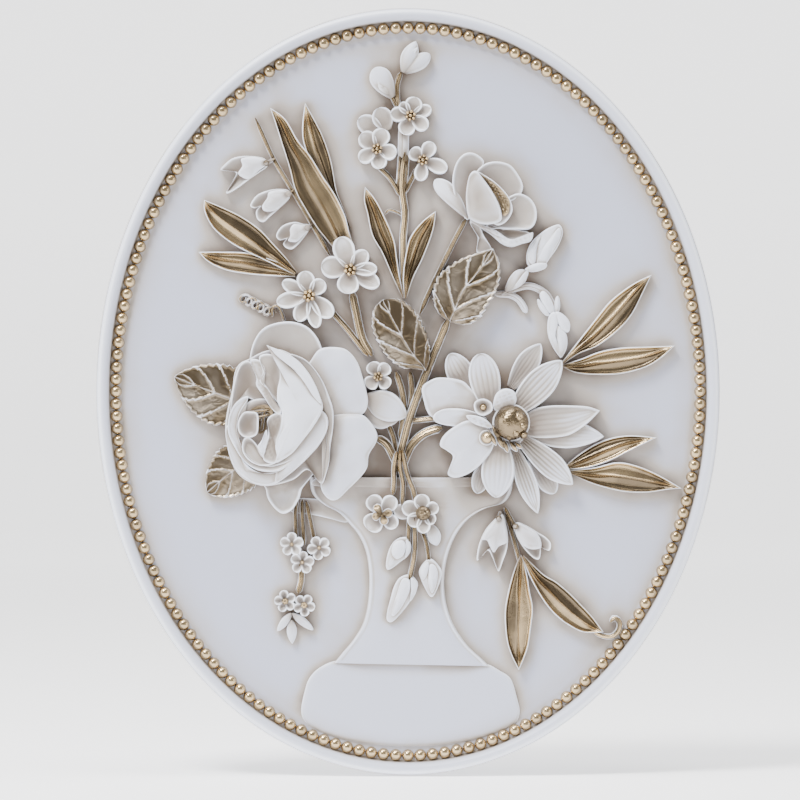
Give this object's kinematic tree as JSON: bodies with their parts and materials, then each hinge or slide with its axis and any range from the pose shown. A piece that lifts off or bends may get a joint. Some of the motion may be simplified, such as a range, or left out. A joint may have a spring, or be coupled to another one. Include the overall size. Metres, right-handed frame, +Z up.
{
  "type": "relief wall plaque",
  "caption": "Oval relief wall plaque with a beaded border and a vase of flowers, cast in one piece to hang flat on a wall by a nail pocket in its back.",
  "frame": {"origin": "middle of the flat back, where the plaque meets the wall", "axes": "+Y out of the back into the wall, -Y out of the relief towards the viewer, +X to the viewer's right, +Z up"},
  "size_m": [0.3126, 0.034, 0.3844],
  "materials": {
    "ivory_resin": "satin",
    "champagne_gold": "satin"
  },
  "bodies": {
    "root": {"relief_plaque": "ivory_resin"}
  },
  "joints": []
}
